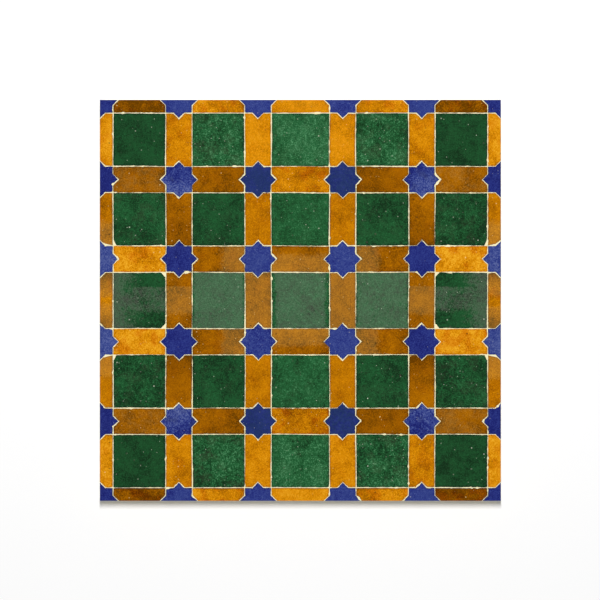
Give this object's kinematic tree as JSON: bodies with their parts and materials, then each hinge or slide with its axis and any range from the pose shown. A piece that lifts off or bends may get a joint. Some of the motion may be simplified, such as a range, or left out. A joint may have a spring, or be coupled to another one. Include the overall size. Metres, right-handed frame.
{
  "type": "moroccan mosaic tile",
  "caption": "Square mosaic panel of hand-cut glazed clay: green squares framed by amber strips and blue pointed stars, cast into one cream mortar bed.",
  "frame": {"origin": "middle of the flat mortar back", "axes": "+Z out of the glazed faces, +Y towards the top of the pattern as pictured, +X towards its right. The panel lies on its back, glazed faces up"},
  "size_m": [0.4, 0.4, 0.02],
  "materials": {
    "bottle_green_glaze": "glossy transparent glaze on buff fired clay, mottled and pinholed",
    "smoky_green_glaze": "glossy greyish green glaze on buff fired clay",
    "amber_glaze": "glossy honey to brown glaze on buff fired clay, clouded",
    "blue_glaze": "glossy cobalt glaze on buff fired clay",
    "cream_mortar": "matt fine sanded lime and cement mortar"
  },
  "bodies": {
    "root": {"green_square_r1_c1": "bottle_green_glaze", "green_square_r1_c2": "bottle_green_glaze", "green_square_r1_c3": "bottle_green_glaze", "green_square_r1_c4": "bottle_green_glaze", "green_square_r1_c5": "bottle_green_glaze", "green_square_r2_c1": "bottle_green_glaze", "green_square_r2_c2": "bottle_green_glaze", "green_square_r2_c3": "bottle_green_glaze", "green_square_r2_c4": "bottle_green_glaze", "green_square_r2_c5": "bottle_green_glaze", "green_square_r3_c1": "smoky_green_glaze", "green_square_r3_c2": "smoky_green_glaze", "green_square_r3_c3": "smoky_green_glaze", "green_square_r3_c4": "smoky_green_glaze", "green_square_r3_c5": "smoky_green_glaze", "green_square_r4_c1": "bottle_green_glaze", "green_square_r4_c2": "bottle_green_glaze", "green_square_r4_c3": "bottle_green_glaze", "green_square_r4_c4": "bottle_green_glaze", "green_square_r4_c5": "bottle_green_glaze", "green_square_r5_c1": "bottle_green_glaze", "green_square_r5_c2": "bottle_green_glaze", "green_square_r5_c3": "bottle_green_glaze", "green_square_r5_c4": "bottle_green_glaze", "green_square_r5_c5": "bottle_green_glaze", "amber_upright_strips_row_1": "amber_glaze", "amber_upright_strips_row_2": "amber_glaze", "amber_upright_strips_row_3": "amber_glaze", "amber_upright_strips_row_4": "amber_glaze", "amber_upright_strips_row_5": "amber_glaze", "amber_level_strips_row_1": "amber_glaze", "amber_level_strips_row_2": "amber_glaze", "amber_level_strips_row_3": "amber_glaze", "amber_level_strips_row_4": "amber_glaze", "amber_edge_strips_top": "amber_glaze", "amber_edge_strips_bottom": "amber_glaze", "amber_edge_strips_left": "amber_glaze", "amber_edge_strips_right": "amber_glaze", "blue_star_r1_c1": "blue_glaze", "blue_star_r1_c2": "blue_glaze", "blue_star_r1_c3": "blue_glaze", "blue_star_r1_c4": "blue_glaze", "blue_star_r2_c1": "blue_glaze", "blue_star_r2_c2": "blue_glaze", "blue_star_r2_c3": "blue_glaze", "blue_star_r2_c4": "blue_glaze", "blue_star_r3_c1": "blue_glaze", "blue_star_r3_c2": "blue_glaze", "blue_star_r3_c3": "blue_glaze", "blue_star_r3_c4": "blue_glaze", "blue_star_r4_c1": "blue_glaze", "blue_star_r4_c2": "blue_glaze", "blue_star_r4_c3": "blue_glaze", "blue_star_r4_c4": "blue_glaze", "blue_half_stars_top": "blue_glaze", "blue_half_stars_bottom": "blue_glaze", "blue_half_stars_left": "blue_glaze", "blue_half_stars_right": "blue_glaze", "blue_quarter_stars": "blue_glaze", "mortar_bed": "cream_mortar"}
  },
  "joints": []
}
